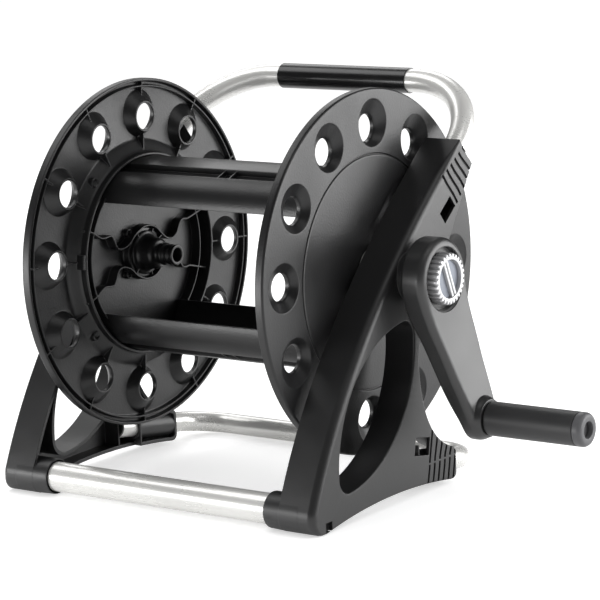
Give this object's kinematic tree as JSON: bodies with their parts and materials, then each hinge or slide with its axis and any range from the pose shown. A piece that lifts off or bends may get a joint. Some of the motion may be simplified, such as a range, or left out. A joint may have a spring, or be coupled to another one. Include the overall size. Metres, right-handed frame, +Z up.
{
  "type": "garden hose reel",
  "caption": "Free-standing portable hose reel: a hand-cranked drum with core bars between hollow side frames, joined by metal tubes and a carry handle.",
  "frame": {"origin": "middle of the base of the bounding box, on the floor", "axes": "+X along the drum axle towards the crank, +Y from the front feet towards the carry handle, +Z up"},
  "size_m": [0.4965, 0.309, 0.334],
  "materials": {
    "frame_plastic": "fine satin grain, anthracite",
    "tube_aluminium": "drawn and lightly polished, clear anodised",
    "handle_black": "smooth, glossy",
    "screw_steel": "zinc plated",
    "bush_plastic": "plain bearing plastic",
    "drum_plastic": "fine moulded grain, anthracite",
    "spindle_plastic": "smooth moulded",
    "seal_rubber": "matt",
    "crank_plastic": "satin, mid grey",
    "knob_silver": "metallised satin silver",
    "knob_cap_silver": "satin silver",
    "crank_grip_plastic": "satin, dark grey",
    "grip_cap_plastic": "satin, mid grey",
    "inlet_plastic": "smooth moulded"
  },
  "bodies": {
    "frame": {"left_side_frame": "frame_plastic", "right_side_frame": "frame_plastic", "front_tube": "tube_aluminium", "rear_bow_tube": "tube_aluminium", "handle_bow_tube": "tube_aluminium", "handle_grip": "handle_black", "tube_screws": "screw_steel", "left_bearing_bush": "bush_plastic", "right_bearing_bush": "bush_plastic", "inlet_clip": "screw_steel"},
    "drum": {"left_flange": "drum_plastic", "right_flange": "drum_plastic", "upper_core_bar": "drum_plastic", "lower_core_bar": "drum_plastic", "water_spindle": "spindle_plastic", "spindle_screws": "screw_steel", "outlet_seal": "seal_rubber", "drive_shaft": "spindle_plastic", "shaft_screws": "screw_steel", "core_screws": "screw_steel", "crank_arm": "crank_plastic", "crank_washer": "screw_steel", "grip_pin": "screw_steel"},
    "knob": {"lock_knob": "knob_silver", "knob_cap": "knob_cap_silver"},
    "crank_grip": {"grip_sleeve": "crank_grip_plastic", "grip_end_cap": "grip_cap_plastic"},
    "inlet": {"inlet_elbow": "inlet_plastic", "inlet_seals": "seal_rubber"}
  },
  "joints": [
    {"name": "drum_spin", "type": "hinge", "parent": "frame", "child": "drum", "pos_m": [-0.06075, -0.0045, 0.184], "axis": [1, 0, 0], "continuous": true},
    {"name": "knob_turn", "type": "hinge", "parent": "drum", "child": "knob", "pos_m": [0.12925, -0.0045, 0.184], "axis": [1, 0, 0], "range_deg": [0, 90]},
    {"name": "grip_spin", "type": "hinge", "parent": "drum", "child": "crank_grip", "pos_m": [0.19925, 0.02045, 0.06662], "axis": [1, 0, 0], "continuous": true},
    {"name": "inlet_swivel", "type": "hinge", "parent": "frame", "child": "inlet", "pos_m": [-0.22075, -0.0045, 0.184], "axis": [1, 0, 0], "range_deg": [-150, 150]}
  ]
}
